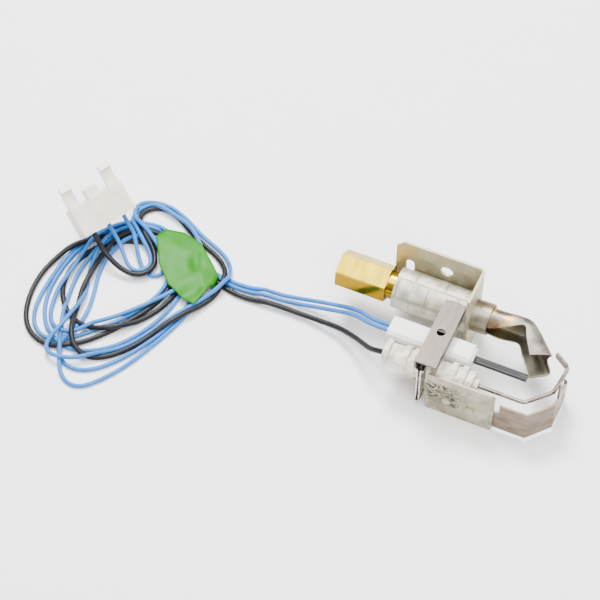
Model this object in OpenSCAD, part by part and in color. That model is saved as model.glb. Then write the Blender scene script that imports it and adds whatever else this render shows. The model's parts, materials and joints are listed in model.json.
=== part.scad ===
// Gas pilot burner with hot surface igniter, flame rod, ground band and lead harness.
// Millimetres, +Z up, z = 0 is the surface it lies on. Gas flows along +X.

/* [Burner] */
// burner barrel diameter
barrel_d = 15.88; // [12:0.1:20]
// burner barrel length
barrel_len = 30; // [20:1:45]
// nose collar diameter
collar_d = 12.4; // [10:0.1:15]
// nose collar length past the end plate
collar_len = 6.6; // [4:0.1:10]
// hood sheet thickness
hood_t = 0.6; // [0.4:0.1:1]

/* [Gas inlet] */
// inlet hexagon across flats
hex_af = 12.7; // [10:0.1:16]
// inlet hexagon length
hex_len = 20.1; // [12:0.1:28]
// inlet thread minor diameter
inlet_bore_d = 9.9; // [7:0.1:10.5]
// inlet thread depth
inlet_bore_len = 12; // [8:0.5:15]

/* [Bracket] */
// bracket sheet thickness
sheet_t = 1; // [0.6:0.1:1.6]
// back plate height
plate_h = 35; // [28:1:42]
// back plate length
plate_len = 34.5; // [28:0.5:45]
// screw hole diameter
screw_hole_d = 5; // [3:0.1:6]

/* [Igniter and flame rod] */
// igniter bar width
bar_w = 2.6; // [1.5:0.1:4]
// igniter bar length in view
bar_len = 20.7; // [12:0.1:28]
// flame rod diameter
rod_d = 1.6; // [1:0.1:2.4]

/* [Leads] */
// igniter lead diameter
blue_d = 1.7; // [1.2:0.1:2.5]
// sensor lead diameter
black_d = 2.1; // [1.2:0.1:2.8]
// coil length across
coil_w = 78; // [60:1:110]

/* [Hidden] */
$fn = 48;
barrel_r = barrel_d / 2;
collar_r = collar_d / 2;
hex_r = hex_af / 2 / cos(30);
// burner axis, where it meets the end plate's inner face
ax = [5, 13.25, 18];
fx = -33.4;
arm_y = -33.0;
coil_c = [-124, -17, 0];

module xcyl(r, x0, x1, y = 0, z = 0) {
  translate([x0, y, z]) rotate([0, 90, 0]) cylinder(r = r, h = x1 - x0);
}

module ycyl(r, y0, y1, x = 0, z = 0) {
  translate([x, y0, z]) rotate([-90, 0, 0]) cylinder(r = r, h = y1 - y0);
}

module box(a, b) {
  translate(a) cube(b - a);
}

module xz_slab(pts, y0, y1) {
  translate([0, y1, 0]) rotate([90, 0, 0]) linear_extrude(height = y1 - y0) polygon(pts);
}

// round tube swept along a list of points
function unit(v) = v / norm(v);
function tangent(p, i) = let (n = len(p))
  unit(p[min(i + 1, n - 1)] - p[max(i - 1, 0)]);
function side_of(t) = unit(cross(t, [0, 0, 1]));
module tube(p, r, n = 8) {
  m = len(p);
  pts = [for (i = [0:m - 1]) for (k = [0:n - 1])
    let (t = tangent(p, i), a = side_of(t), b = cross(a, t), w = 360 * (k + 0.5) / n)
    p[i] + r * (a * cos(w) + b * sin(w))];
  faces = concat([[for (k = [0:n - 1]) n - 1 - k]],
    [[for (k = [0:n - 1]) (m - 1) * n + k]],
    [for (i = [0:m - 2]) for (k = [0:n - 1]) for (f = [0, 1]) f == 0
      ? [i * n + k, i * n + (k + 1) % n, (i + 1) * n + k]
      : [i * n + (k + 1) % n, (i + 1) * n + (k + 1) % n, (i + 1) * n + k]]);
  polyhedron(pts, faces, convexity = 6);
}

// room for the spring clip in the ceramic and in the shelf under it
module clip_notch() {
  box([clip_x - 1.9, -34, -8], [clip_x + 1.9, -30.2, 5]);
}

// back plate, end plate and the low arm that carries the electrode bracket
module mounting_bracket() {
  color([0.85, 0.81, 0.68]) translate(ax) difference() {
    union() {
      difference() {
        box([-plate_len, 8, -18], [-1, 9, -18 + plate_h]);
        translate([-plate_len, 7, -18 + plate_h]) rotate([0, 45, 0])
          translate([-2.4, 0, -2.4]) cube([4.8, 3, 4.8]);
        hull() {
          ycyl(1.7, 7, 10, -28.7, 2.2, $fn = 32);
          ycyl(1.7, 7, 10, -28.7, 6.2, $fn = 32);
        }
        ycyl(screw_hole_d / 2, 7, 10, -14, 8.4);
        ycyl(screw_hole_d / 2, 7, 10, -14, -11.5);
      }
      translate([-1, 7, -18]) intersection() {
        difference() {
          cylinder(r = 2, h = plate_h - 0.3);
          translate([0, 0, -1]) cylinder(r = 1, h = plate_h + 2);
        }
        translate([0, 0, -1]) cube([3, 3, plate_h + 2]);
      }
      box([0, -8, -18], [1, 7, 16.6]);
      box([0, arm_y, -18], [1, -8, -6.9]);
      box([-10, -33, -6.9], [1, -14.4, -6.1]);
      box([1, arm_y, -17], [18, arm_y + 0.8, -7.4]);
    }
    clip_notch();
    xcyl(5.5, -1, 2);
    ycyl(0.9, -40, -30, 4.1, -7.8 - 1.5);
    ycyl(0.9, -40, -30, 13.3, -9.9);
  }
}

// cylindrical burner body with primary air ports low on the barrel
module burner_body() {
  color([0.83, 0.82, 0.78]) translate(ax) difference() {
    union() {
      xcyl(barrel_r, -barrel_len, 0);
      xcyl(barrel_r + 0.12, -21.4, -20.6);
    }
    xcyl(5.5, -16, 1);
    xcyl(3.4, -25, -15);
    xcyl(4.6, -barrel_len - 1, -24);
    for (s = [-1, 1]) translate([-12, 0, 0]) rotate([180 + 28 * s, 0, 0])
      cylinder(r = 1.5, h = 12);
  }
}

// mixing tube through the end plate
module burner_tube() {
  color([0.72, 0.70, 0.64]) translate(ax) difference() {
    xcyl(5.5, -9, 6);
    xcyl(4.9, -10, 7);
  }
}

// short sheet collar round the nose
module burner_collar() {
  color([0.78, 0.74, 0.66]) translate(ax) difference() {
    xcyl(collar_r, 1, 1 + collar_len);
    xcyl(collar_r - 0.5, 0, 2 + collar_len);
  }
}

// one formed sheet: a three-sided trough that turns the flame towards the igniter
// each station runs floor lip, floor, bend, wall, bend, roof, roof lip
hood = [
  [[6.1, -3.6, -3.4], [6.1, -1.5, -4.8], [6.1, 2.2, -4.5], [6.1, 5.0, 0],
   [6.1, 3.0, 4.0], [6.1, -1.8, 4.7], [6.1, -4.8, 0.8]],
  [[9.0, -3.4, -4.4], [9.0, -1.3, -5.2], [9.0, 2.2, -4.7], [9.0, 4.6, -0.3],
   [9.0, 2.8, 3.9], [9.0, -1.2, 4.8], [9.2, -4.6, 1.5]],
  [[12.8, -2.8, -5.6], [12.8, -0.8, -5.9], [12.8, 2.3, -5.0], [13.0, 4.3, -0.6],
   [13.2, 2.6, 4.2], [13.0, -0.8, 5.0], [12.6, -4.2, 3.2]],
  [[16.4, -2.2, -5.7], [16.6, 0.2, -5.9], [16.8, 2.6, -5.0], [17.0, 4.4, -0.6],
   [17.2, 2.9, 4.4], [16.9, 0.2, 5.4], [16.4, -3.0, 4.7]],
  [[20.0, -2.2, -5.6], [21.2, 0.2, -5.8], [22.4, 2.4, -4.9], [22.9, 3.9, -0.8],
   [22.3, 2.9, 4.0], [21.6, 1.2, 5.1], [20.8, -0.8, 5.1]],
  [[22.9, -6.4, -5.8], [24.6, -3.6, -6.0], [26.2, -0.9, -5.2], [27.2, 0.3, -1.1],
   [26.6, 0.0, 3.4], [25.2, -1.8, 4.6], [22.9, -4.4, 4.4]],
  [[25.8, -10.8, -6.0], [28.2, -8.0, -6.2], [30.4, -5.2, -5.6], [31.2, -4.6, -1.5],
   [30.8, -4.2, 2.7], [28.6, -5.6, 3.7], [24.8, -7.8, 3.7]],
  [[28.4, -14.8, -6.2], [31.8, -12.6, -6.4], [35.2, -9.9, -5.9], [32.8, -7.4, -1.8],
   [34.2, -7.4, 1.8], [31.0, -8.9, 2.6], [26.8, -10.9, 2.6]]
];
hs = len(hood);
hp = len(hood[0]);
function clampi(i, n) = max(0, min(n - 1, i));
function cr(a, b, c, d, t) =
  0.5 * ((2 * b) + (c - a) * t + (2 * a - 5 * b + 4 * c - d) * t * t
  + (3 * b - a - 3 * c + d) * t * t * t);
function hrow(j, s) = let (i = min(floor(s), hs - 2), t = s - i)
  cr(hood[clampi(i - 1, hs)][j], hood[i][j], hood[i + 1][j], hood[clampi(i + 2, hs)][j], t);
function hpt(u, s) = let (j = min(floor(u), hp - 2), t = u - j)
  cr(hrow(clampi(j - 1, hp), s), hrow(j, s), hrow(j + 1, s), hrow(clampi(j + 2, hp), s), t);
function hnorm(u, s) = let (e = 0.05,
  du = hpt(min(u + e, hp - 1), s) - hpt(max(u - e, 0), s),
  ds = hpt(u, min(s + e, hs - 1)) - hpt(u, max(s - e, 0)))
  unit(cross(du, ds));
hn = 2 * (hs - 1);
hm = 2 * (hp - 1);
function hidx(k, i, j) = k * (hn + 1) * (hm + 1) + i * (hm + 1) + j;
hood_pts = [for (k = [0, 1]) for (i = [0:hn]) for (j = [0:hm])
  hpt(j / 2, i / 2) + (k - 0.5) * hood_t * hnorm(j / 2, i / 2)];
hood_faces = concat(
  [for (i = [0:hn - 1]) for (j = [0:hm - 1]) for (f = [0, 1]) f == 0
    ? [hidx(1, i, j), hidx(1, i, j + 1), hidx(1, i + 1, j)]
    : [hidx(1, i, j + 1), hidx(1, i + 1, j + 1), hidx(1, i + 1, j)]],
  [for (i = [0:hn - 1]) for (j = [0:hm - 1]) for (f = [0, 1]) f == 0
    ? [hidx(0, i, j), hidx(0, i + 1, j), hidx(0, i, j + 1)]
    : [hidx(0, i, j + 1), hidx(0, i + 1, j), hidx(0, i + 1, j + 1)]],
  [for (i = [0:hn - 1]) for (f = [0, 1]) f == 0
    ? [hidx(0, i, 0), hidx(1, i, 0), hidx(0, i + 1, 0)]
    : [hidx(1, i, 0), hidx(1, i + 1, 0), hidx(0, i + 1, 0)]],
  [for (i = [0:hn - 1]) for (f = [0, 1]) f == 0
    ? [hidx(0, i, hm), hidx(0, i + 1, hm), hidx(1, i, hm)]
    : [hidx(1, i, hm), hidx(0, i + 1, hm), hidx(1, i + 1, hm)]],
  [for (j = [0:hm - 1]) for (f = [0, 1]) f == 0
    ? [hidx(0, 0, j), hidx(0, 0, j + 1), hidx(1, 0, j)]
    : [hidx(0, 0, j + 1), hidx(1, 0, j + 1), hidx(1, 0, j)]],
  [for (j = [0:hm - 1]) for (f = [0, 1]) f == 0
    ? [hidx(0, hn, j), hidx(1, hn, j), hidx(0, hn, j + 1)]
    : [hidx(0, hn, j + 1), hidx(1, hn, j), hidx(1, hn, j + 1)]]
);
module flame_hood() {
  color([0.66, 0.60, 0.52]) translate(ax) polyhedron(hood_pts,
    [for (f = hood_faces) [f[2], f[1], f[0]]], convexity = 6);
}

// brass inlet: hexagon, neck and spigot, with the tube thread at its open end
module inlet_fitting() {
  color([0.85, 0.65, 0.20]) translate(ax) difference() {
    union() {
      rotate([24.5 + 30, 0, 0]) translate([fx - hex_len, 0, 0]) rotate([0, 90, 0])
        cylinder(r = hex_r, h = hex_len, $fn = 6);
      xcyl(5.4, fx - 1, -30);
      xcyl(4.6, -31, -25);
    }
    xcyl(inlet_bore_d / 2, fx - hex_len - 1, fx - hex_len + inlet_bore_len);
    translate([fx - hex_len + inlet_bore_len, 0, 0]) rotate([0, 90, 0])
      cylinder(r1 = inlet_bore_d / 2, r2 = 2.2, h = 3);
    xcyl(2.2, fx - hex_len + inlet_bore_len, -24);
  }
}

// small brass spud with the metering hole
module gas_orifice() {
  color([0.80, 0.62, 0.25]) translate(ax) difference() {
    xcyl(2.2, -32, -24.2);
    xcyl(0.9, -33, -26);
    xcyl(0.25, -27, -24);
  }
}

// channel that clamps both insulators down, with a small hole in its top
module clamp_strap() {
  color([0.68, 0.65, 0.62]) translate(ax) difference() {
    union() {
      box([-9.6, -34.3, 7.3], [-1.3, -3.6, 8]);
      box([-9.6, -34.3, 3.7], [-8.9, -3.6, 8]);
      box([-2.0, -34.3, 3.7], [-1.3, -3.6, 8]);
      box([-7.6, -3.9, 5], [-3.3, -3.2, 7.9]);
    }
    xcyl(barrel_r + 0.01, -12, 1);
    translate([-5.5, -18.6, 5]) cylinder(r = 1.65, h = 5);
  }
}

// folded spring clip: two lips at the top, close legs and a round eye below
clip_x = -7.1;
clip_t = 0.44;
clip_half = concat(
  [for (w = [-50:23:180]) [1.02 + 0.4 * cos(w), 4.2 + 0.4 * sin(w)]],
  [for (w = [48:-23:-90]) [0.93 * cos(w), -14 + 0.93 * sin(w)]]);
clip_line = concat(clip_half, [for (i = [len(clip_half) - 2:-1:0])
  [-clip_half[i][0], clip_half[i][1]]]);
function line_normal(p, i) = let (d = unit(p[min(i + 1, len(p) - 1)] - p[max(i - 1, 0)]))
  [-d[1], d[0]];
module spring_clip() {
  n = len(clip_line);
  color([0.75, 0.75, 0.76]) translate(ax) translate([clip_x, 0, 0]) xz_slab(concat(
    [for (i = [0:n - 1]) clip_line[i] + clip_t / 2 * line_normal(clip_line, i)],
    [for (i = [n - 1:-1:0]) clip_line[i] - clip_t / 2 * line_normal(clip_line, i)]),
    -35.5, -30.4);
}

// front plate, riveted to the bracket's arm
module electrode_bracket() {
  color([0.84, 0.81, 0.70]) translate(ax) difference() {
    xz_slab([[-3.2, -18], [21.4, -18], [22.3, -17], [22.3, 2.2], [21.6, 3], [-3.4, 3],
      [-4, 2.2], [-4, -17]], -34.6, -33.7);
    ycyl(0.9, -40, -30, 4.1, -9.3);
    ycyl(0.9, -40, -30, 13.3, -9.9);
  }
}

module bracket_rivets() {
  color([0.80, 0.77, 0.68]) translate(ax) for (p = [[4.1, -9.3], [13.3, -9.9]]) {
    ycyl(1.6, -35.2, -34.6, p[0], p[1]);
    ycyl(0.9, -34.7, -32.1, p[0], p[1]);
    ycyl(1.5, -32.2, -31.6, p[0], p[1]);
  }
}

// formed sheet strip round the flame, with a raised finger and a curled end
band_plan = [[2, -33.7], [35.0, -33.7], [42.6, -24.9], [42.6, -11.4], [41.9, -11.4],
  [41.9, -24.6], [34.6, -33.0], [2, -33.0]];
module ground_band() {
  color([0.62, 0.54, 0.48]) translate(ax) difference() {
    union() {
      intersection() {
        translate([0, 0, -16.2]) linear_extrude(height = 14.4) polygon(band_plan);
        union() {
          box([0, -40, -20], [24.2, 0, -6.8]);
          box([24.2, -40, -20], [50, 0, 5]);
        }
      }
      box([41.9, -21.5, -2.0], [42.6, -19.7, 6.4]);
      translate([41, -11.41, -16.2]) difference() {
        cylinder(r = 1.6, h = 10.5);
        translate([0, 0, -1]) cylinder(r = 0.9, h = 13);
        translate([-3, -3, -1]) cube([3, 6, 13]);
        translate([-1, -3, -1]) cube([4, 3, 13]);
      }
    }
    ycyl(0.9, -40, -30, 4.1, -9.3);
    ycyl(0.9, -40, -30, 13.3, -9.9);
    xcyl(1.3, 41, 44, -14.4, -10.2);
    translate([41, -11.4, -6]) rotate([40, 0, 0]) cube([3, 8, 8]);
  }
}

module bevel_block(a, b, c) {
  hull() {
    box([a[0], a[1] + c, a[2]], [b[0], b[1] - c, b[2]]);
    box([a[0], a[1], a[2] + c], [b[0], b[1], b[2] - c]);
  }
}

// smooth white ceramic of the igniter, with a foot on the bracket
module igniter_insulator() {
  color([0.95, 0.95, 0.93]) translate(ax) difference() {
    union() {
      bevel_block([-25, -23.6, -4.5], [7.7, -14.7, 3.7], 1.1);
      box([7.7, -22.3, -3.3], [8.5, -16.0, 2.5]);
      box([-9, -23.0, -6.1], [-1, -15.3, -4.4]);
    }
    box([3, -19 - bar_w / 2, -1.3], [9, -19 + bar_w / 2, 0.3]);
    for (s = [-1, 1]) xcyl(blue_d / 2 + 0.15, -26, -18, -19 + 1.3 * s, 0);
    for (s = [-1, 1]) xcyl(0.5, -19, 4, -19 + 0.8 * s, -0.5);
  }
}

// dark ceramic bar with lengthwise grooves
module igniter_element() {
  color([0.22, 0.21, 0.22]) translate(ax) difference() {
    box([3, -19 - bar_w / 2, -1.3], [8.5 + bar_len, -19 + bar_w / 2, 0.3]);
    for (s = [-1, 1]) box([8.6, -19 + s * 0.62 - 0.16, 0.05], [40, -19 + s * 0.62 + 0.16, 1]);
    box([10, -19.12, -2], [8.5 + bar_len - 3, -18.88, 2]);
  }
}

module igniter_terminals() {
  color([0.80, 0.76, 0.65]) translate(ax) for (s = [-1, 1])
    xcyl(0.5, -18, 3, -19 + 0.8 * s, -0.5);
}

// ribbed rough ceramic of the flame rod
module sensor_insulator() {
  color([0.90, 0.88, 0.80]) translate(ax) difference() {
    union() {
      bevel_block([-21, -32.9, -6.1], [12, -24.9, 2.3], 1.6);
      for (x = [-23, -15.5, -12, 3, 7])
        bevel_block([x, -33.3, -6.1], [x + 2, -24.5, 3.7], 1.8);
      bevel_block([-9.4, -32.9, -6.1], [-1.4, -24.9, 3.7], 1.2);
      xcyl(2.4, 12, 14, -29, -1.3);
    }
    clip_notch();
    xcyl(rod_d / 2, 2, 15, -29, -1.3);
    xcyl(black_d / 2 + 0.2, -24, -16, -29, -1.3);
    xcyl(0.6, -17, 3, -29, -1.3);
  }
}

// bent metal rod with a flattened tip
rod_pts = [[2, -29], [16, -29], [30.4, -29], [31.6, -28.8], [32.6, -28.1], [36, -24.5],
  [39.2, -21.1], [39.9, -20.1], [40.2, -18.8], [40.7, -14], [41.1, -9.2], [41, -8.3],
  [40.4, -7.4]];
module flame_rod() {
  color([0.70, 0.68, 0.66]) translate(ax) {
    tube([for (p = rod_pts) [p[0], p[1], -1.3]], rod_d / 2, 16);
    translate([40.6, -7.5, -1.3]) rotate([0, 0, 146]) translate([0, -0.5, -1.3])
      cube([6.4, 1, 2.6]);
  }
}

module rod_terminal() {
  color([0.80, 0.76, 0.65]) translate(ax) xcyl(0.6, -16, 2, -29, -1.3);
}

// leads: tubes swept along round points
blue_a_pts = [[-14, -4.45, 18], [-21, -4.6, 17.9], [-28, -3.2, 16], [-36.5, 0.9, 12],
  [-48, 3.1, 6.8], [-60.5, 3, 3.4], [-68, 2.6, 2], [-76.5, 2, 2], [-85, 0.2, 2]];
blue_b_pts = [[-14, -7.05, 18], [-21, -6.9, 17.9], [-28, -5.4, 15.8], [-37, -1.3, 11.5],
  [-48, 0.7, 6.3], [-60.5, 0.6, 3], [-68, 0.2, 2], [-76.5, -0.4, 2], [-85.3, -2, 2]];
black_pts = [[-13, -15.75, 16.7], [-19, -15.9, 16.4], [-25, -14, 13], [-33.5, -8.5, 8.2],
  [-41.5, -4.9, 5], [-50, -3.6, 3.2], [-58.6, -3, 2.2], [-69, -3.2, 2.2], [-78, -4, 2.2],
  [-85.6, -5.2, 2.2]];

module lead_blue_a() {
  color([0.40, 0.68, 0.90]) tube(blue_a_pts, blue_d / 2);
}

module lead_blue_b() {
  color([0.40, 0.68, 0.90]) tube(blue_b_pts, blue_d / 2);
}

module lead_black() {
  color([0.15, 0.15, 0.16]) tube(black_pts, black_d / 2);
}

// the room the coiled leads take up
coil_h = 9;
function ring_pts(a, b, n = 40) = [for (i = [0:n - 1]) [a * cos(360 * i / n), b * sin(360 * i / n)]];
module lead_coil() {
  color([0.40, 0.62, 0.85]) translate(coil_c) linear_extrude(height = coil_h) difference() {
    polygon(ring_pts(coil_w / 2, coil_w * 0.63));
    polygon(ring_pts(coil_w / 6, coil_w * 0.26));
  }
}

// tape flag folded round the bundle, lying on the coil
tape_outline = [[-123, 2], [-117, 9.5], [-108, 8], [-92, -4], [-91, -9], [-94.5, -21.5],
  [-105.5, -18.5], [-113, -8]];
module green_tape() {
  color([0.25, 0.78, 0.30]) translate([0, 0, coil_h]) linear_extrude(height = 2.4)
    polygon(tape_outline);
}

// nylon plug, its wire end propped on the coil and its latch end up
plug_at = [-142.1, -0.8, 12.5];
plug_yaw = 154;
plug_pitch = 42;
plug_len = 12;
plug_pitch_y = 7.2;
module at_plug() {
  translate(plug_at) rotate([0, 0, plug_yaw]) rotate([0, -plug_pitch, 0]) children();
}

module plug_tail(y, r) {
  at_plug() tube([[4, y, 0], [0, y, 0], [-2.7, y, 0], [-5.4, y, 0]], r);
}

module plug_tail_a() {
  color([0.40, 0.68, 0.90]) plug_tail(-plug_pitch_y, blue_d / 2);
}

module plug_tail_b() {
  color([0.40, 0.68, 0.90]) plug_tail(0, blue_d / 2);
}

module plug_tail_c() {
  color([0.15, 0.15, 0.16]) plug_tail(plug_pitch_y, black_d / 2);
}

module plug_housing() {
  color([0.93, 0.92, 0.88, 0.9]) at_plug() difference() {
    union() {
      box([0, -12, -3.5], [plug_len, 12, 3.5]);
      box([plug_len, -2.6, -2.2], [plug_len + 4, 2.6, 2.2]);
    }
    for (y = [-1, 0, 1] * plug_pitch_y) {
      xcyl(1.2, -2, 4.5, y, 0);
      box([4.4, y - 1.3, -1.3], [plug_len - 1, y + 1.3, 1.3]);
      xcyl(0.9, plug_len - 2, plug_len + 6, y, 0);
    }
  }
}

// sprung latch arm with a barbed tip, bending at its root on the body's end
module latch_arm(y) {
  color([0.93, 0.92, 0.88, 0.9]) at_plug() translate([plug_len, y, 0])
    xz_slab([[0.05, 0], [8.6, 0], [9.4, 0.5], [9.4, 1.4], [7.2, 2.6], [6.9, 1.5], [0.05, 1.7]],
      -2.4, 2.4);
}

module latch_arm_left() {
  latch_arm(9.2);
}

module latch_arm_right() {
  latch_arm(-9.2);
}

module plug_terminals() {
  color([0.80, 0.76, 0.65]) at_plug() for (y = [-1, 0, 1] * plug_pitch_y) difference() {
    box([4.5, y - 1.2, -1.2], [plug_len - 1.1, y + 1.2, 1.2]);
    xcyl(0.8, 7, 13, y, 0);
  }
}

mounting_bracket();
burner_body();
burner_tube();
burner_collar();
flame_hood();
inlet_fitting();
gas_orifice();
clamp_strap();
spring_clip();
electrode_bracket();
bracket_rivets();
ground_band();
igniter_insulator();
igniter_element();
igniter_terminals();
sensor_insulator();
flame_rod();
rod_terminal();
lead_blue_a();
lead_blue_b();
lead_black();
lead_coil();
green_tape();
plug_tail_a();
plug_tail_b();
plug_tail_c();
plug_housing();
latch_arm_left();
latch_arm_right();
plug_terminals();
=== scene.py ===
import json
import math
from types import SimpleNamespace

import bmesh
import bpy
import numpy as np
from mathutils import Matrix, Vector


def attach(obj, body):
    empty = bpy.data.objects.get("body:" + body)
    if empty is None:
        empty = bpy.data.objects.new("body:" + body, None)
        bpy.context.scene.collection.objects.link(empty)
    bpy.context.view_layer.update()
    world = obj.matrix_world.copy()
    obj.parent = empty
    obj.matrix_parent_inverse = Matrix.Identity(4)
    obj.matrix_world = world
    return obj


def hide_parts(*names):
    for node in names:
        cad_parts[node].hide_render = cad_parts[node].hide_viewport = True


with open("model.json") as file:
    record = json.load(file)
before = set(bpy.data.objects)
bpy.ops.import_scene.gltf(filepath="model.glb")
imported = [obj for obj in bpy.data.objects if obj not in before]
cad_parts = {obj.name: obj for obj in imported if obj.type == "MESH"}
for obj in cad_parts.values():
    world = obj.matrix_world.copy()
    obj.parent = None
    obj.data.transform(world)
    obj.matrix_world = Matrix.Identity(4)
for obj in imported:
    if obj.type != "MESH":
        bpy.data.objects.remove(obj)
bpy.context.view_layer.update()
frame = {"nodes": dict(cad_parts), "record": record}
MM = 0.001
TINY = 1e-6


def mm(*v):
    return Vector(v) * MM


def add(name, data):
    """A new object with this data, linked into the scene."""
    piece = bpy.data.objects.new(name, data)
    bpy.context.collection.objects.link(piece)
    return piece


def catmull_rom(a, b, c, d, t):
    """The point at t between b and c, on the smooth curve through a, b, c and d."""
    return 0.5 * (2 * b + (c - a) * t + (2 * a - 5 * b + 4 * c - d) * t * t
                  + (3 * b - a - 3 * c + d) * t ** 3)


# ---------------------------------------------------------------- camera
VIEW_AZIMUTH, VIEW_ELEVATION = math.radians(24.5), math.radians(53.0)
CAMERA_AT = mm(131.8, -420.6, 620)


def camera():
    """A long lens from front right and above, level with no roll."""
    flat = math.cos(VIEW_ELEVATION)
    right = Vector((math.cos(VIEW_AZIMUTH), math.sin(VIEW_AZIMUTH), 0))
    ahead = Vector((-math.sin(VIEW_AZIMUTH) * flat, math.cos(VIEW_AZIMUTH) * flat,
                    -math.sin(VIEW_ELEVATION)))
    up = right.cross(ahead)
    data = bpy.data.cameras.new("camera")
    data.lens, data.sensor_width = 120.0, 36.0
    data.clip_start, data.clip_end = 0.05, 20.0
    cam = add("camera", data)
    turn = Matrix((right, up, -ahead)).transposed().to_4x4()
    cam.matrix_world = Matrix.Translation(CAMERA_AT) @ turn
    bpy.context.scene.camera = cam


camera()

# ---------------------------------------------------------------- leads
# all in mm: the leads' own sizes and routes, and where the plug lies
DIAMETER = {"black": 2.1, "blue_a": 1.7, "blue_b": 1.7}
RADIUS = {name: d / 2 for name, d in DIAMETER.items()}
STEP = 2.0
PIN_PITCH = 7.2
PIN = {"black": PIN_PITCH, "blue_a": -PIN_PITCH, "blue_b": 0.0}
PLUG_AT = Vector((-142.1, -0.8, 12.5))
PLUG_YAW, PLUG_TILT = math.radians(154), math.radians(42)
PLUG_TURN = Matrix.Rotation(PLUG_YAW, 3, "Z") @ Matrix.Rotation(-PLUG_TILT, 3, "Y")

# from the ceramics down to the coil
LEADS = {
    "blue_a": [(-14, -4.45, 18), (-21, -4.6, 17.9), (-28, -3.2, 16), (-36.5, 0.9, 12),
               (-48, 3.1, 6.8), (-60.5, 3, 3.4), (-68, 2.6, 2), (-76.5, 2, 2), (-85, 0.2, 2)],
    "blue_b": [(-14, -7.05, 18), (-21, -6.9, 17.9), (-28, -5.4, 15.8), (-37, -1.3, 11.5),
               (-48, 0.7, 6.3), (-60.5, 0.6, 3), (-68, 0.2, 2), (-76.5, -0.4, 2),
               (-85.3, -2, 2)],
    "black": [(-13, -15.75, 16.7), (-19, -15.9, 16.4), (-25, -14, 13), (-33.5, -8.5, 8.2),
              (-41.5, -4.9, 5), (-50, -3.6, 3.2), (-58.6, -3, 2.2), (-69, -3.2, 2.2),
              (-78, -4, 2.2), (-85.6, -5.2, 2.2)],
}

# the coil in its own plane: u to the right and v to the back, from the coil's middle
COIL, COIL_TURN = (-128.5, -18.3), math.radians(24.5)
TURNS = {
    "black": [
        [(37, 2), (29, 10), (19, 19), (7, 25), (-7, 25), (-21, 18), (-31, 7), (-36, -9),
         (-35, -22), (-25, -31), (-10, -27), (6, -17), (17, -7)],
        [(21, 2), (21, 11), (14, 20), (3, 23), (-9, 20), (-18, 12), (-23, 1), (-21, -13),
         (-13, -22), (-1, -23), (12, -16), (21, -7)],
        [(25, 3), (23, 14), (14, 24), (2, 26), (-6, 18), (-11, 7), (-15, -8), (-18, -24),
         (-16, -34), (-7, -36), (7, -30), (20, -19), (32, -11), (40, -3), (42.5, 5), (38, 14)]],
    "blue_a": [
        [(36, 5), (28, 13), (18, 22), (5, 28), (-8, 27), (-19, 18), (-26, 6), (-32, -8),
         (-33, -20), (-25, -28), (-11, -23), (3, -16), (14, -7)],
        [(20, 2), (22, 12), (15, 22), (4, 26), (-8, 20), (-16, 9), (-20, -5), (-22, -20),
         (-22, -34), (-21, -44), (-15, -50), (-8, -47), (3, -40), (14, -29), (25, -16)],
        [(32, -4), (33, 7), (25, 19), (14, 28), (1, 29), (-8, 20), (-13, 7), (-14, -9),
         (-23, -24), (-29, -32), (-22, -37), (-8, -35), (7, -28), (20, -17), (33, -9), (42, -1),
         (44.5, 7), (40, 16)]],
    "blue_b": [
        [(37, 3), (30, 12), (20, 22), (7, 30), (-6, 29), (-17, 20), (-24, 8), (-29, -7),
         (-28, -21), (-20, -31), (-6, -32), (9, -24), (20, -12)],
        [(26, 0), (25, 11), (17, 21), (6, 25), (-4, 18), (-9, 7), (-10, -6), (-13, -18),
         (-22, -28), (-21, -38), (-12, -42), (2, -36), (15, -25), (27, -12)],
        [(32, 0), (31, 11), (22, 22), (11, 30), (-1, 31), (-12, 22), (-18, 9), (-25, -5),
         (-27, -18), (-19, -26), (-8, -19), (5, -14), (18, -7), (28, 1), (33, 11)]],
}
# from the coil over its back edge, down into the ring and back up to the plug: u, v, height
TAILS = {
    "black": [(31, 20, 6), (26, 28, 3), (20, 35.5, 2), (13.5, 40, 2), (7, 38.5, 4), (4.5, 32, 7),
              (7.5, 24, 9), (12, 16.5, 8), (13.5, 9, 4.5), (9.5, 3.5, 2.2), (3.4, 3.4, 2),
              (-2, 6.8, 3)],
    "blue_a": [(31, 24, 7), (26, 32, 4), (19, 39, 3), (12, 42.5, 2.5), (5, 40.5, 5), (3, 33.5, 8),
               (7, 26.5, 9.5), (12, 20.5, 9), (16, 14.5, 7), (18.5, 8.5, 4), (16, 3.6, 2),
               (10.5, 3, 2), (7.4, 8.5, 2.6), (6, 14.5, 4)],
    "blue_b": [(30, 22, 8), (24.5, 30, 5), (18, 37, 3), (10.5, 40.5, 3), (3.6, 37.5, 5.5),
               (2.6, 30, 8.5), (7, 23, 9), (11.5, 16.5, 7), (13, 9.5, 5), (9.6, 3.8, 4),
               (4.2, 4.6, 3.6), (1.4, 11, 4)],
}


def plug_point(x, y, z):
    return PLUG_AT + PLUG_TURN @ Vector((x, y, z))


def coil_point(u, v, z):
    c, s = math.cos(COIL_TURN), math.sin(COIL_TURN)
    return (COIL[0] + u * c - v * s, COIL[1] + u * s + v * c, z)


def coil_points(name):
    """Loose turns of different sizes, each layer higher, that meet where the tape holds them."""
    floor_gap, layer, wave = 2.0, 2.8, 0.9
    return [coil_point(u, v, floor_gap + layer * k + wave * math.sin(1.9 * i + len(name)))
            for k, turn in enumerate(TURNS[name]) for i, (u, v) in enumerate(turn)]


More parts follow.
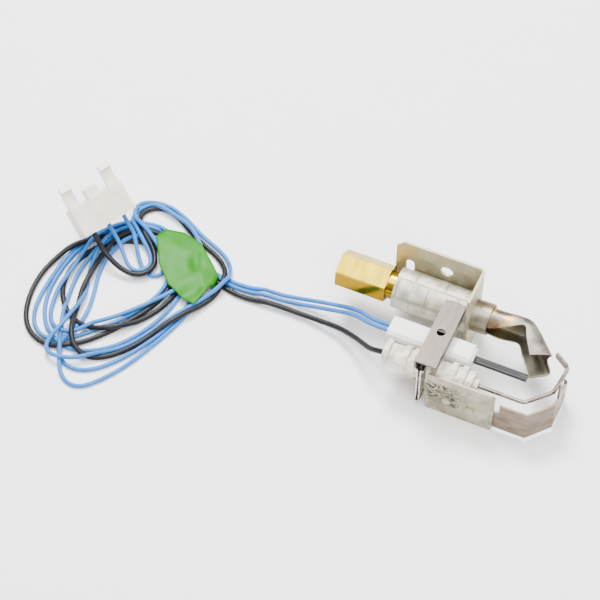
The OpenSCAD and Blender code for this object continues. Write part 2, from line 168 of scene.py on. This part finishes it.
def smooth(points):
    """A smooth curve through the points, with a point about every STEP."""
    p = np.array([tuple(q) for q in points], float)
    p = np.vstack([2 * p[0] - p[1], p, 2 * p[-1] - p[-2]])
    out = [catmull_rom(a, b, c, d, t) for a, b, c, d in zip(p, p[1:], p[2:], p[3:])
           for t in np.linspace(0, 1, 24, endpoint=False)]
    out = np.array(out + [p[-2]])
    run = np.concatenate([[0], np.cumsum(np.linalg.norm(np.diff(out, axis=0), axis=1))])
    marks = np.linspace(0, run[-1], max(2, round(run[-1] / STEP)))
    return np.stack([np.interp(marks, run, out[:, k]) for k in range(3)], 1)


def route(name):
    tail = [coil_point(u, v, z) for u, v, z in TAILS[name]]
    plug_end = [plug_point(x, PIN[name], 0) for x in (-9, -5, -1, 3)]
    return smooth(LEADS[name] + coil_points(name) + tail + plug_end)


# points at each end of a lead that stay where they are
HEAD_HELD, PLUG_HELD = 34, 7
# how near two points are in plan to meet, in mm, and how far apart along one lead, in points
NEAR, SAME_STRETCH = 4.0, 5
CROSS_GAP, SIDE_GAP, FLOOR_GAP = 0.15, 0.12, 0.02
# share of an overlap taken out in one pass, and the most that one pass takes, in mm
YIELD, MOST = 0.35, 0.8
# fall of a point in one round, in mm, and in the calm rounds at the end
FALL, CALM_FALL = 0.34, 0.2
# shares of the way home in plan, to a straight line, and to level ground, in one pass
HOMING, STRAIGHTEN, LEVEL = 0.035, 0.13, 0.11


def meetings(x, home, chain, order, inner):
    """Pairs of points near each other in plan, as crossings with the one on top, and as pairs
    that run side by side."""
    apart = np.linalg.norm(x[:, None, :2] - x[None, :, :2], axis=2)
    near = np.triu(apart < NEAR, 1) & (
        (chain[:, None] != chain[None, :])
        | (np.abs(order[:, None] - order[None, :]) > SAME_STRETCH))
    a, b = np.nonzero(near)
    along = np.zeros_like(x)
    along[inner] = x[inner + 1] - x[inner - 1]
    along /= np.maximum(np.linalg.norm(along, axis=1), TINY)[:, None]
    across = np.abs(along[a, 0] * along[b, 1] - along[a, 1] * along[b, 0]) > 0.2
    over = np.where(home[b, 2] - home[a, 2] + 0.01 * (chain[b] - chain[a]) >= 0, 1, -1)
    return (a[across], b[across], over[across]), (a[~across], b[~across])


def lift_crossings(x, rad, a, b, over):
    """Where two leads cross, the upper one rises and the lower one sinks."""
    aside = np.linalg.norm(x[a, :2] - x[b, :2], axis=1)
    reach = rad[a] + rad[b] + CROSS_GAP
    height = np.sqrt(np.clip(reach ** 2 - (0.5 * aside) ** 2, 0, 9))
    need = np.where(aside < reach, height, 0)
    lift = np.clip(need - over * (x[b, 2] - x[a, 2]), 0, MOST) * YIELD * (need > 0) * over
    np.add.at(x[:, 2], b, lift)
    np.add.at(x[:, 2], a, -lift)


def push_apart(x, rad, a, b):
    """Leads that run side by side keep their diameters between them."""
    d = x[b] - x[a]
    n = np.linalg.norm(d, axis=1)
    push = np.clip(rad[a] + rad[b] + SIDE_GAP - n, 0, None) * YIELD / np.maximum(n, TINY)
    np.add.at(x, b, d * push[:, None])
    np.add.at(x, a, -d * push[:, None])


def keep_lengths(x, first, rest):
    """Every step along a lead goes back to its own length."""
    d = x[first + 1] - x[first]
    n = np.linalg.norm(d, axis=1)
    pull = (n - rest) * 0.5 / np.maximum(n, TINY)
    np.add.at(x, first + 1, -d * pull[:, None])
    np.add.at(x, first, d * pull[:, None])


def between(x, inner):
    """From each inner point to the middle of its two neighbours."""
    return 0.5 * (x[inner - 1] + x[inner + 1]) - x[inner]


def settle(chains, radii, rounds=240, calm_rounds=60):
    """Lets the leads sink onto each other, keeping their lengths, both ends and who lies on top."""
    x = np.vstack(chains)
    rad = np.concatenate([np.full(len(c), r) for c, r in zip(chains, radii)])
    chain = np.concatenate([np.full(len(c), i) for i, c in enumerate(chains)])
    order = np.concatenate([np.arange(len(c)) for c in chains])
    to_end = np.concatenate([np.arange(len(c))[::-1] for c in chains])
    first = np.nonzero(chain[1:] == chain[:-1])[0]
    rest = np.linalg.norm(x[first + 1] - x[first], axis=1)
    fixed = (order < HEAD_HELD) | (to_end < PLUG_HELD)
    free = ~fixed
    inner = np.nonzero(chain[2:] == chain[:-2])[0] + 1
    inner = inner[free[inner]]
    home = x.copy()
    for step in range(rounds):
        if step % 6 == 0:
            crossing, beside = meetings(x, home, chain, order, inner)
        x[free, 2] -= FALL if step < rounds - calm_rounds else CALM_FALL
        x[free, :2] += HOMING * (home[free, :2] - x[free, :2])
        for _ in range(4):
            x[inner] += STRAIGHTEN * between(x, inner)
            x[inner, 2] += LEVEL * (0.5 * (x[inner - 3, 2] + x[inner + 3, 2]) - x[inner, 2])
            lift_crossings(x, rad, *crossing)
            push_apart(x, rad, *beside)
            x[:, 2] = np.maximum(x[:, 2], rad + FLOOR_GAP)
            keep_lengths(x, first, rest)
            x[fixed] = home[fixed]
    for _ in range(3):
        x[inner] += 0.5 * between(x, inner)
    x[:, 2] = np.maximum(x[:, 2], rad + FLOOR_GAP)
    return [x[chain == i] for i in range(len(chains))]


def lead_curve(name, points):
    data = bpy.data.curves.new("flex_" + name, "CURVE")
    data.dimensions = "3D"
    data.bevel_depth = RADIUS[name] * MM
    data.bevel_resolution = 4
    data.use_fill_caps = True
    line = data.splines.new("POLY")
    line.points.add(len(points) - 1)
    for p, q in zip(line.points, points):
        p.co = (*(q * MM), 1)
    line.use_smooth = True
    return add("flex_" + name, data)


lines = dict(zip(DIAMETER, settle([route(name) for name in DIAMETER], list(RADIUS.values()))))
leads = {name: lead_curve(name, line) for name, line in lines.items()}


# ---------------------------------------------------------------- materials
def ramp(nodes, stops):
    node = nodes.new("ShaderNodeValToRGB")
    elements = node.color_ramp.elements
    while len(elements) < len(stops):
        elements.new(0.5)
    for e, (at, colour) in zip(elements, stops):
        e.position = at
        e.color = (*colour, 1)
    return node


def material(name, stops, rough=(0.4, 0.55), metal=0.0, grain=300.0, stretch=(1, 1, 1),
             bump=0.2, depth=0.1, extra=None, **sockets):
    """A principled surface: noise picks the colour and roughness, finer noise the bump.

    stops are the noise's colours, grain its scale, stretch its scale along each axis, depth
    the bump's height in mm, and extra a function that works on the finished look.
    """
    m = bpy.data.materials.new(name)
    m.use_nodes = True
    nodes, links = m.node_tree.nodes, m.node_tree.links
    shader = nodes["Principled BSDF"]
    place = nodes.new("ShaderNodeTexCoord")
    scale = nodes.new("ShaderNodeMapping")
    scale.inputs["Scale"].default_value = stretch
    links.new(place.outputs["Object"], scale.inputs["Vector"])
    noise = nodes.new("ShaderNodeTexNoise")
    noise.inputs["Scale"].default_value = grain
    noise.inputs["Detail"].default_value = 6.0
    links.new(scale.outputs["Vector"], noise.inputs["Vector"])
    colours = ramp(nodes, stops)
    links.new(noise.outputs["Fac"], colours.inputs["Fac"])
    links.new(colours.outputs["Color"], shader.inputs["Base Color"])
    spread = nodes.new("ShaderNodeMapRange")
    spread.inputs["From Min"].default_value = 0.3
    spread.inputs["From Max"].default_value = 0.7
    spread.inputs["To Min"].default_value, spread.inputs["To Max"].default_value = rough
    links.new(noise.outputs["Fac"], spread.inputs["Value"])
    links.new(spread.outputs["Result"], shader.inputs["Roughness"])
    fine = nodes.new("ShaderNodeTexNoise")
    fine.inputs["Scale"].default_value = grain * 5
    fine.inputs["Detail"].default_value = 4.0
    links.new(scale.outputs["Vector"], fine.inputs["Vector"])
    relief = nodes.new("ShaderNodeBump")
    relief.inputs["Strength"].default_value = bump
    relief.inputs["Distance"].default_value = depth * MM
    links.new(fine.outputs["Fac"], relief.inputs["Height"])
    links.new(relief.outputs["Normal"], shader.inputs["Normal"])
    shader.inputs["Metallic"].default_value = metal
    for key, value in sockets.items():
        shader.inputs[key.replace("_", " ")].default_value = value
    if extra:
        extra(SimpleNamespace(nodes=nodes, links=links, shader=shader,
                              place=place.outputs["Object"], relief=relief.outputs["Normal"]))
    return m


# each function below works on one look: its nodes, links and shader, the surface's place in
# metres and the fine relief that it starts from
def fade(look, value, start, end, kind="LINEAR"):
    """0 where the value is at start and 1 where it is at end."""
    out = look.nodes.new("ShaderNodeMapRange")
    out.interpolation_type = kind
    out.inputs["From Min"].default_value = start
    out.inputs["From Max"].default_value = end
    look.links.new(value, out.inputs["Value"])
    return out.outputs["Result"]


def mask(look, axis, start, end):
    """0 before start and 1 after end along one axis, in mm."""
    split = look.nodes.new("ShaderNodeSeparateXYZ")
    look.links.new(look.place, split.inputs["Vector"])
    return fade(look, split.outputs[axis], start * MM, end * MM, "SMOOTHSTEP")


def spots(look, scale, low, high):
    """Patches of noise: 0 where it is under low and 1 over high."""
    noise = look.nodes.new("ShaderNodeTexNoise")
    noise.inputs["Scale"].default_value = scale
    look.links.new(look.place, noise.inputs["Vector"])
    return fade(look, noise.outputs["Fac"], low, high)


def multiply(look, *values):
    out = values[0]
    for value in values[1:]:
        times = look.nodes.new("ShaderNodeMath")
        times.operation = "MULTIPLY"
        look.links.new(out, times.inputs[0])
        if isinstance(value, (int, float)):
            times.inputs[1].default_value = value
        else:
            look.links.new(value, times.inputs[1])
        out = times.outputs["Value"]
    return out


def tint(look, colour, amount):
    """Blends a colour over the shader's present base colour."""
    under = look.shader.inputs["Base Color"].links[0].from_socket
    blend = look.nodes.new("ShaderNodeMix")
    blend.data_type = "RGBA"
    blend.inputs[7].default_value = (*colour, 1)
    look.links.new(under, blend.inputs[6])
    look.links.new(amount, blend.inputs[0])
    look.links.new(blend.outputs[2], look.shader.inputs["Base Color"])


def dent(look, height, strength):
    """Adds half a millimetre of relief to the fine relief."""
    bump = look.nodes.new("ShaderNodeBump")
    bump.inputs["Distance"].default_value = 0.5 * MM
    bump.inputs["Strength"].default_value = strength
    look.links.new(height, bump.inputs["Height"])
    look.links.new(look.relief, bump.inputs["Normal"])
    look.links.new(bump.outputs["Normal"], look.shader.inputs["Normal"])


# a painted shade disc on the igniter's ceramic, seen through the strap's hole
HOLE_SHADE_AT, HOLE_SHADE_R = mm(-1.1, -2.7, 0), 2.2


def plate_wear(look):
    """Yellower towards the brass, with darker freckles."""
    brass = mask(look, "X", -12, -30)
    tint(look, (0.45, 0.31, 0.10), multiply(look, brass, 0.5))
    dirt = spots(look, 900, 0.62, 0.72)
    tint(look, (0.30, 0.26, 0.18), multiply(look, dirt, 0.35))


def stamped_ridges(look):
    """A rough worked patch at the left of the front plate: ridges only, no characters, near black in
    their valleys, with grime spots over the plate.
    """
    patch = multiply(look, mask(look, "X", 15.5, 12.5), mask(look, "Z", 4, 7),
                     mask(look, "Z", 18.5, 16.5))
    wave = look.nodes.new("ShaderNodeTexWave")
    wave.bands_direction = "Z"
    wave.inputs["Scale"].default_value = 150
    wave.inputs["Distortion"].default_value = 14
    wave.inputs["Detail"].default_value = 3
    wave.inputs["Detail Scale"].default_value = 2.2
    look.links.new(look.place, wave.inputs["Vector"])
    # near black in the valleys between the ridges
    valleys = fade(look, wave.outputs["Fac"], 0.55, 0.2)
    tint(look, (0.04, 0.036, 0.024), multiply(look, patch, valleys))
    grime = spots(look, 260, 0.5, 0.7)
    tint(look, (0.20, 0.18, 0.115), multiply(look, grime, 0.7))
    dent(look, multiply(look, patch, wave.outputs["Fac"]), 0.62)


def barrel_marks(look):
    """Staked squares and shallow dents on the barrel, and creamier towards the bottom."""
    cells = look.nodes.new("ShaderNodeTexBrick")
    cells.inputs["Scale"].default_value = 42
    cells.inputs["Mortar Size"].default_value = 0.018
    cells.inputs["Mortar Smooth"].default_value = 0.6
    cells.inputs["Color1"].default_value = (1, 1, 1, 1)
    cells.inputs["Color2"].default_value = (0.8, 0.8, 0.8, 1)
    cells.inputs["Mortar"].default_value = (0, 0, 0, 1)
    look.links.new(look.place, cells.inputs["Vector"])
    seams = fade(look, cells.outputs["Color"], 0.5, 0.0)
    tint(look, (0.26, 0.24, 0.17), multiply(look, seams, 0.6))
    # creamier and yellower below 14 mm
    low = mask(look, "Z", 21, 14)
    tint(look, (0.62, 0.57, 0.42), multiply(look, low, 0.6))
    dent(look, cells.outputs["Color"], 0.6)


def heat_colours_and_underside_shade(look):
    """Straw, gold and brown near the nose, paler grey at the tip, and painted shade on the hood's
    lowest parts, where the lower tab lies in the upper tab's shadow.
    """
    near = mask(look, "X", 27, 13)
    gold = spots(look, 210, 0.38, 0.62)
    tint(look, (0.55, 0.33, 0.07), multiply(look, near, gold, 0.9))
    brown = spots(look, 330, 0.48, 0.66)
    tint(look, (0.09, 0.04, 0.018), multiply(look, near, brown, 0.85))
    # painted shade: darker below 13.5 mm, where the lower tab lies in the upper tab's shadow
    under = mask(look, "Z", 15.5, 13.5)
    tint(look, (0.20, 0.19, 0.12), multiply(look, under, 0.65))


def collar_heat(look):
    """Brown on the top of the collar."""
    hot = multiply(look, mask(look, "Z", 20.5, 23.5), mask(look, "Y", 11.5, 16))
    tint(look, (0.20, 0.12, 0.065), multiply(look, hot, 0.85))


def rod_heat(look):
    """Warmer towards the rod's tip."""
    warm = mask(look, "X", 24, 40)
    tint(look, (0.45, 0.38, 0.30), multiply(look, warm, 0.4))


def crust(look):
    """Pits and cream crust of an unglazed ceramic."""
    pits = spots(look, 1300, 0.56, 0.66)
    tint(look, (0.55, 0.49, 0.36), multiply(look, pits, 0.5))


def lower_flats_painted_shade(look):
    """The inlet's lower flats are painted a deeper, darker gold as painted shade, since they reflect
    less of the bright surroundings.
    """
    # painted shade: the brass is darker and deeper gold below 20.8 mm
    low = mask(look, "Z", 22.2, 20.8)
    tint(look, (0.24, 0.13, 0.0), multiply(look, low, 0.9))


def hole_shade(look):
    """Painted shade: a dark and dull disc on the igniter's ceramic under the strap's hole."""
    flat = look.nodes.new("ShaderNodeVectorMath")
    flat.operation = "MULTIPLY"
    flat.inputs[1].default_value = (1, 1, 0)
    look.links.new(look.place, flat.inputs[0])
    away = look.nodes.new("ShaderNodeVectorMath")
    away.operation = "DISTANCE"
    away.inputs[1].default_value = HOLE_SHADE_AT
    look.links.new(flat.outputs["Vector"], away.inputs[0])
    inside = fade(look, away.outputs["Value"], (HOLE_SHADE_R + 0.1) * MM, (HOLE_SHADE_R - 0.1) * MM)
    # painted shade: near black inside the disc, with less specular reflection
    tint(look, (0.004, 0.004, 0.004), inside)
    gloss = look.nodes.new("ShaderNodeMapRange")
    gloss.inputs["To Min"].default_value = 0.5
    gloss.inputs["To Max"].default_value = 0.0
    look.links.new(inside, gloss.inputs["Value"])
    look.links.new(gloss.outputs["Result"], look.shader.inputs["Specular IOR Level"])


def see_through(look):
    """Light goes a little way into the nylon."""
    look.shader.inputs["Subsurface Weight"].default_value = 0.35
    look.shader.inputs["Subsurface Radius"].default_value = (0.004, 0.0038, 0.0034)


LOOKS = {
    "zinc_sheet": material("zinc_sheet", [(0.3, (0.33, 0.285, 0.16)), (0.7, (0.52, 0.48, 0.34))],
                           rough=(0.38, 0.6), metal=0.45, grain=260, bump=0.25, extra=plate_wear),
    "front_plate": material("front_plate", [(0.3, (0.24, 0.215, 0.135)), (0.7, (0.48, 0.45, 0.33))],
                            rough=(0.4, 0.62), metal=0.4, grain=220, bump=0.3,
                            extra=stamped_ridges),
    "barrel_metal": material("barrel_metal", [(0.3, (0.34, 0.31, 0.21)), (0.65, (0.66, 0.64, 0.55))],
                             rough=(0.35, 0.6), metal=0.35, grain=240, bump=0.45, depth=0.15,
                             extra=barrel_marks),
    "collar_metal": material("collar_metal", [(0.3, (0.22, 0.185, 0.12)), (0.7, (0.42, 0.375, 0.29))],
                             rough=(0.25, 0.45), metal=0.75, grain=160, bump=0.12,
                             extra=collar_heat),
    "tinted_steel": material("tinted_steel", [(0.3, (0.10, 0.085, 0.065)), (0.7, (0.30, 0.27, 0.235))],
                             rough=(0.3, 0.5), metal=0.9, grain=190, bump=0.15,
                             extra=heat_colours_and_underside_shade),
    "stainless": material("stainless", [(0.3, (0.075, 0.062, 0.052)), (0.7, (0.15, 0.13, 0.115))],
                          rough=(0.3, 0.48), metal=0.85, grain=130, stretch=(9, 1, 1), bump=0.2),
    "clip_steel": material("clip_steel", [(0.3, (0.55, 0.52, 0.48)), (0.7, (0.76, 0.74, 0.70))],
                           rough=(0.16, 0.3), metal=1.0, grain=200, stretch=(1, 6, 1), bump=0.1),
    "band_steel": material("band_steel", [(0.3, (0.14, 0.095, 0.066)), (0.7, (0.29, 0.225, 0.175))],
                           rough=(0.3, 0.48), metal=0.85, grain=150, stretch=(1, 1, 2.5),
                           bump=0.15),
    "rod_steel": material("rod_steel", [(0.3, (0.13, 0.12, 0.105)), (0.7, (0.27, 0.25, 0.225))],
                          rough=(0.2, 0.36), metal=0.95, grain=240, bump=0.1, extra=rod_heat),
    "brass": material("brass", [(0.3, (0.36, 0.235, 0.006)), (0.7, (0.62, 0.44, 0.025))],
                      rough=(0.12, 0.24), metal=1.0, grain=90, stretch=(3, 1, 1), bump=0.06,
                      extra=lower_flats_painted_shade),
    "white_ceramic": material("white_ceramic", [(0.3, (0.78, 0.78, 0.74)), (0.7, (0.88, 0.88, 0.86))],
                              rough=(0.4, 0.55), grain=180, bump=0.12, extra=hole_shade),
    "rough_ceramic": material("rough_ceramic", [(0.35, (0.52, 0.48, 0.36)), (0.62, (0.82, 0.80, 0.73))],
                              rough=(0.6, 0.85), grain=330, bump=0.7, depth=0.3,
                              extra=crust),
    "element": material("element", [(0.3, (0.018, 0.017, 0.019)), (0.7, (0.05, 0.048, 0.053))],
                        rough=(0.5, 0.65), grain=260, stretch=(1, 6, 6), bump=0.4),
    "tinned": material("tinned", [(0.3, (0.62, 0.60, 0.54)), (0.7, (0.80, 0.78, 0.73))],
                       rough=(0.25, 0.4), metal=0.9, grain=300, bump=0.1),
    "blue_wire": material("blue_wire", [(0.3, (0.014, 0.13, 0.42)), (0.7, (0.032, 0.19, 0.52))],
                          rough=(0.38, 0.5), grain=170, bump=0.08, Specular_IOR_Level=0.28),
    "black_wire": material("black_wire", [(0.3, (0.006, 0.006, 0.007)), (0.7, (0.014, 0.014, 0.016))],
                           rough=(0.36, 0.5), grain=170, bump=0.08, Specular_IOR_Level=0.22),
    "green_tape": material("green_tape", [(0.3, (0.010, 0.135, 0.001)), (0.7, (0.022, 0.20, 0.003))],
                           rough=(0.34, 0.5), grain=60, bump=0.15, Specular_IOR_Level=0.16),
    "nylon": material("nylon", [(0.3, (0.74, 0.70, 0.56)), (0.7, (0.86, 0.83, 0.73))],
                      rough=(0.3, 0.45), grain=200, bump=0.12, extra=see_through),
}
# nodes whose look differs from their slot's
OWN = {"electrode_bracket": "front_plate", "spring_clip": "clip_steel"}
for row in frame["record"]["subparts"]:
    node = frame["nodes"][row["node"]]
    node.data.materials.clear()
    node.data.materials.append(LOOKS[OWN.get(row["node"], row["material_slot"])])


# ---------------------------------------------------------------- tape
# the tape's outline in the coil's plane, and a point inside it
TAPE = [(13.5, 20.5), (17, 24.5), (24.5, 23.5), (31, 17.5), (38, 2.5), (36.5, -1),
        (29, -12), (25, -9), (19, -2.5), (14.8, 8)]
TAPE_MID = (25.5, 6.5)
TAPE_RINGS = 12
TAPE_THICK = 0.3
# how far from a lead's middle the sheet still lies on it, and its gap over the lead
TAPE_CATCH, TAPE_GAP = 2.6, 0.25
# the fold hangs from the edge past this line across the coil, this far down
FOLD_AT, FOLD_DROP, FOLD_LOWEST = 33.5, 3.4, 1.2


def tape_edge():
    """The outline with a point about every 1.6 mm."""
    edge = []
    for (u0, v0), (u1, v1) in zip(TAPE, TAPE[1:] + TAPE[:1]):
        steps = max(1, round(math.hypot(u1 - u0, v1 - v0) / 1.6))
        edge += [(u0 + (u1 - u0) * i / steps, v0 + (v1 - v0) * i / steps) for i in range(steps)]
    return edge


def blurred(height, flat, reach):
    """Each height becomes the mean of those about it."""
    apart = np.linalg.norm(flat[:, None, :2] - flat[None, :, :2], axis=2)
    weight = np.exp(-(apart / reach) ** 2)
    return (weight @ height) / weight.sum(axis=1)


def tape_heights(flat):
    """How high the sheet lies over the leads under each point of its plan."""
    tops = np.vstack([np.column_stack([line[:, :2], line[:, 2] + RADIUS[name]])
                      for name, line in lines.items()])
    away = np.linalg.norm(flat[:, None, :2] - tops[None, :, :2], axis=2)
    held = np.where(away < TAPE_CATCH, tops[None, :, 2], 0).max(axis=1) + TAPE_GAP
    height = np.maximum(blurred(held, flat, 3.2) + 2 * TAPE_GAP, held)
    return blurred(height, flat, 1.3) + TAPE_GAP


def tape_flag():
    """A folded strip lying on the bundle: it follows the leads under it, with soft creases."""
    edge = tape_edge()
    n = len(edge)
    mid_u, mid_v = TAPE_MID
    plan = [TAPE_MID] + [(mid_u + (u - mid_u) * j / TAPE_RINGS, mid_v + (v - mid_v) * j / TAPE_RINGS)
                         for j in range(1, TAPE_RINGS + 1) for u, v in edge]
    flat = np.array([coil_point(u, v, 0) for u, v in plan])
    height = tape_heights(flat)
    bm = bmesh.new()
    verts = []
    for (u, v), (x, y, _), z in zip(plan, flat, height):
        crease = 0.5 * abs(math.sin(0.33 * (u * 0.5 + v * 0.87) + 0.4)) * (0.3 + 0.7 * (u > 31))
        verts.append(bm.verts.new(mm(x, y, z + crease)))
    ring = [verts[1 + j * n:1 + (j + 1) * n] for j in range(TAPE_RINGS)]
    for i in range(n):
        k = (i + 1) % n
        bm.faces.new((verts[0], ring[0][i], ring[0][k]))
        for a, b in zip(ring, ring[1:]):
            bm.faces.new((a[i], b[i], b[k], a[k]))
    # the fold at the outer end turns down towards the floor
    skirt = []
    for i, (u, v) in enumerate(edge):
        if u + 0.35 * v > FOLD_AT:
            low = max(FOLD_LOWEST, height[1 + (TAPE_RINGS - 1) * n + i] - FOLD_DROP)
            skirt.append((i, bm.verts.new(mm(*coil_point(u + 0.8, v - 0.4, low)))))
    for (i, p), (k, q) in zip(skirt, skirt[1:]):
        if k == i + 1:
            bm.faces.new((ring[-1][i], p, q, ring[-1][k]))
    bmesh.ops.recalc_face_normals(bm, faces=bm.faces)
    data = bpy.data.meshes.new("tape_flag")
    bm.to_mesh(data)
    bm.free()
    for face in data.polygons:
        face.use_smooth = True
    piece = add("tape_flag", data)
    thick = piece.modifiers.new("thick", "SOLIDIFY")
    thick.thickness, thick.offset = TAPE_THICK * MM, 1.0
    data.materials.append(LOOKS["green_tape"])
    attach(piece, "burner")
    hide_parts("green_tape")
    return piece


# ---------------------------------------------------------------- leads on the frame
def declare_lead(name, slot_name, nodes):
    """The lead's look, its body and the nodes that it replaces."""
    piece = leads[name]
    piece.data.materials.append(LOOKS[slot_name])
    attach(piece, "burner")
    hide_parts(*nodes)


tape = tape_flag()
declare_lead("blue_a", "blue_wire",
             ["lead_blue_a", "plug_tail_a", "lead_coil"])
declare_lead("blue_b", "blue_wire", ["lead_blue_b", "plug_tail_b"])
declare_lead("black", "black_wire", ["lead_black", "plug_tail_c"])


# ---------------------------------------------------------------- hood skin
# points across the formed sheet, row by row along the flow, from the burner's axis, in mm
AXIS = Vector((5, 13.25, 18))
HOOD = [
    [(6.1, -3.6, -3.4), (6.1, -1.5, -4.8), (6.1, 2.2, -4.5), (6.1, 5, 0), (6.1, 3, 4),
     (6.1, -1.8, 4.7), (6.1, -4.8, 0.8)],
    [(9, -3.4, -4.4), (9, -1.3, -5.2), (9, 2.2, -4.7), (9, 4.6, -0.3), (9, 2.8, 3.9),
     (9, -1.2, 4.8), (9.2, -4.6, 1.5)],
    [(12.8, -2.8, -5.6), (12.8, -0.8, -5.9), (12.8, 2.3, -5), (13, 4.3, -0.6), (13.2, 2.6, 4.2),
     (13, -0.8, 5), (12.6, -4.2, 3.2)],
    [(16.4, -2.2, -5.7), (16.6, 0.2, -5.9), (16.8, 2.6, -5), (17, 4.4, -0.6), (17.2, 2.9, 4.4),
     (16.9, 0.2, 5.4), (16.4, -3, 4.7)],
    [(20, -2.2, -5.6), (21.2, 0.2, -5.8), (22.4, 2.4, -4.9), (22.9, 3.9, -0.8), (22.3, 2.9, 4),
     (21.6, 1.2, 5.1), (20.8, -0.8, 5.1)],
    [(22.9, -6.4, -5.8), (24.6, -3.6, -6), (26.2, -0.9, -5.2), (27.2, 0.3, -1.1), (26.6, 0, 3.4),
     (25.2, -1.8, 4.6), (22.9, -4.4, 4.4)],
    [(25.8, -10.8, -6), (28.2, -8, -6.2), (30.4, -5.2, -5.6), (31.2, -4.6, -1.5),
     (30.8, -4.2, 2.7), (28.6, -5.6, 3.7), (24.8, -7.8, 3.7)],
    [(28.4, -14.8, -6.2), (31.8, -12.6, -6.4), (35.2, -9.9, -5.9), (32.8, -7.4, -1.8),
     (34.2, -7.4, 1.8), (31, -8.9, 2.6), (26.8, -10.9, 2.6)],
]


def finer(rows, per):
    """A smooth run through the rows, with per steps from each row to the next."""
    rows = np.array(rows, float)
    padded = np.concatenate([rows[:1], rows, rows[-1:]])
    out = [catmull_rom(*padded[i:i + 4], t) for i in range(len(rows) - 1)
           for t in np.linspace(0, 1, per, endpoint=False)]
    return np.array(out + [rows[-1]])


def hood_skin():
    """The same formed sheet as the frame's hood, with smooth curves and rounded edges."""
    grid = finer(np.array([finer(row, 5) for row in HOOD]), 6)
    rows, cols = grid.shape[:2]
    data = bpy.data.meshes.new("hood_skin")
    points = [tuple((Vector(q) + AXIS) * MM) for row in grid for q in row]
    faces = [(i * cols + j, i * cols + j + 1, (i + 1) * cols + j + 1, (i + 1) * cols + j)
             for i in range(rows - 1) for j in range(cols - 1)]
    data.from_pydata(points, [], faces)
    for face in data.polygons:
        face.use_smooth = True
    piece = add("hood_skin", data)
    thick = piece.modifiers.new("thick", "SOLIDIFY")
    thick.thickness, thick.offset = 0.58 * MM, 0
    edge = piece.modifiers.new("edge", "BEVEL")
    edge.width, edge.segments, edge.angle_limit = 0.12 * MM, 2, math.radians(50)
    edge.limit_method = "ANGLE"
    data.materials.append(LOOKS["tinted_steel"])
    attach(piece, "burner")
    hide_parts("flame_hood")


hood_skin()


# ---------------------------------------------------------------- floor and light
FLOOR_HALF = 3.0


def floor():
    data = bpy.data.meshes.new("floor")
    corners = [(-FLOOR_HALF, -FLOOR_HALF, 0), (FLOOR_HALF, -FLOOR_HALF, 0),
               (FLOOR_HALF, FLOOR_HALF, 0), (-FLOOR_HALF, FLOOR_HALF, 0)]
    data.from_pydata(corners, [], [(0, 1, 2, 3)])
    piece = add("floor", data)
    data.materials.append(material("paper", [(0.3, (0.93, 0.93, 0.93)), (0.7, (0.95, 0.95, 0.95))],
                                   rough=(0.7, 0.8), grain=60, bump=0.02))


def lamp(name, at, aim, size, power):
    """A round soft light at one place, turned towards another; metres and watts."""
    data = bpy.data.lights.new(name, "AREA")
    data.shape = "DISK"
    data.size, data.energy = size, power
    piece = add(name, data)
    piece.location = at
    piece.rotation_euler = (Vector(aim) - Vector(at)).to_track_quat("-Z", "Y").to_euler()


def sky():
    world = bpy.data.worlds.new("studio")
    world.use_nodes = True
    background = world.node_tree.nodes["Background"]
    background.inputs["Color"].default_value = (1, 1, 1, 1)
    background.inputs["Strength"].default_value = 0.62
    bpy.context.scene.world = world


floor()
lamp("key", (-0.35, 0.40, 0.8), (-0.05, 0, 0), 0.35, 19.0)
lamp("top", (0.0, -0.1, 1.5), (0, 0, 0), 1.4, 34.0)
lamp("fill", (0.5, -0.7, 0.7), (-0.03, 0, 0), 0.7, 7.0)
lamp("rim", (0.55, 0.45, 0.35), (0, 0, 0), 0.4, 3.0)
sky()
